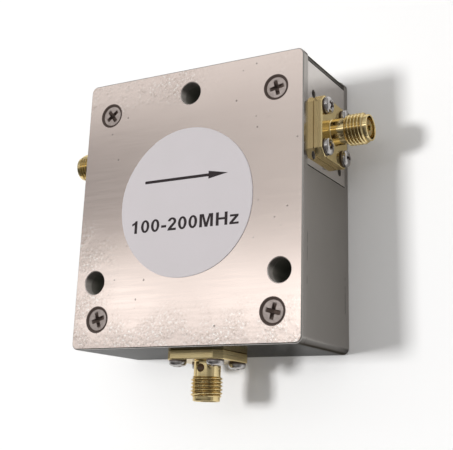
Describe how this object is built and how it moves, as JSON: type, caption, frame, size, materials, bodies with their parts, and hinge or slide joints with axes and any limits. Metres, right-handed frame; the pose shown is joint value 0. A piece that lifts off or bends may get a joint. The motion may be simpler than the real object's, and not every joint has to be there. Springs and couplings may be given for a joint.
{
  "type": "rf circulator",
  "caption": "Flat plated housing with a coaxial jack on three sides, which passes a radio signal from each port on to the next port only; bolts down through its corners.",
  "frame": {"origin": "centre of the back cover's outer face, which is the face that seats on a chassis", "axes": "+X towards the right port, +Y towards the top edge opposite the lower port, +Z out of the labelled front face"},
  "size_m": [0.071, 0.067, 0.0222],
  "materials": {
    "plated_frame": "silver plated steel, smooth",
    "plated_block": "silver plated block, smooth",
    "plated_cover": "silver plated steel, satin",
    "cover_screw": "stainless steel",
    "label": "matte white label",
    "gold_plate": "gold plated brass, polished",
    "insulator": "white fluoropolymer",
    "gold_contact": "gold plated contact",
    "flange_screw": "plated steel",
    "magnet": "ferrite magnet, ground",
    "pole_plate": "plated mild steel",
    "ferrite": "ground garnet",
    "film": "polyimide film",
    "copper": "bare copper strip",
    "capacitor": "ceramic chip"
  },
  "bodies": {
    "root": {"main_frame": "plated_frame", "right_port_block": "plated_block", "left_port_block": "plated_block", "front_cover": "plated_cover", "back_cover": "plated_cover", "front_cover_screws": "cover_screw", "back_cover_screws": "cover_screw", "round_label": "label", "right_jack_body": "gold_plate", "right_jack_insulator": "insulator", "right_jack_contact": "gold_contact", "right_jack_screws": "flange_screw", "left_jack_body": "gold_plate", "left_jack_insulator": "insulator", "left_jack_contact": "gold_contact", "left_jack_screws": "flange_screw", "lower_jack_body": "gold_plate", "lower_jack_insulator": "insulator", "lower_jack_contact": "gold_contact", "lower_jack_screws": "flange_screw", "back_magnet": "magnet", "front_magnet": "magnet", "back_pole_plate": "pole_plate", "front_pole_plate": "pole_plate", "back_ferrite": "ferrite", "front_ferrite": "ferrite", "back_film": "film", "front_film": "film", "right_junction_strip": "copper", "left_junction_strip": "copper", "lower_junction_strip": "copper", "right_tuning_capacitor": "capacitor", "left_tuning_capacitor": "capacitor", "lower_tuning_capacitor": "capacitor"}
  },
  "joints": []
}
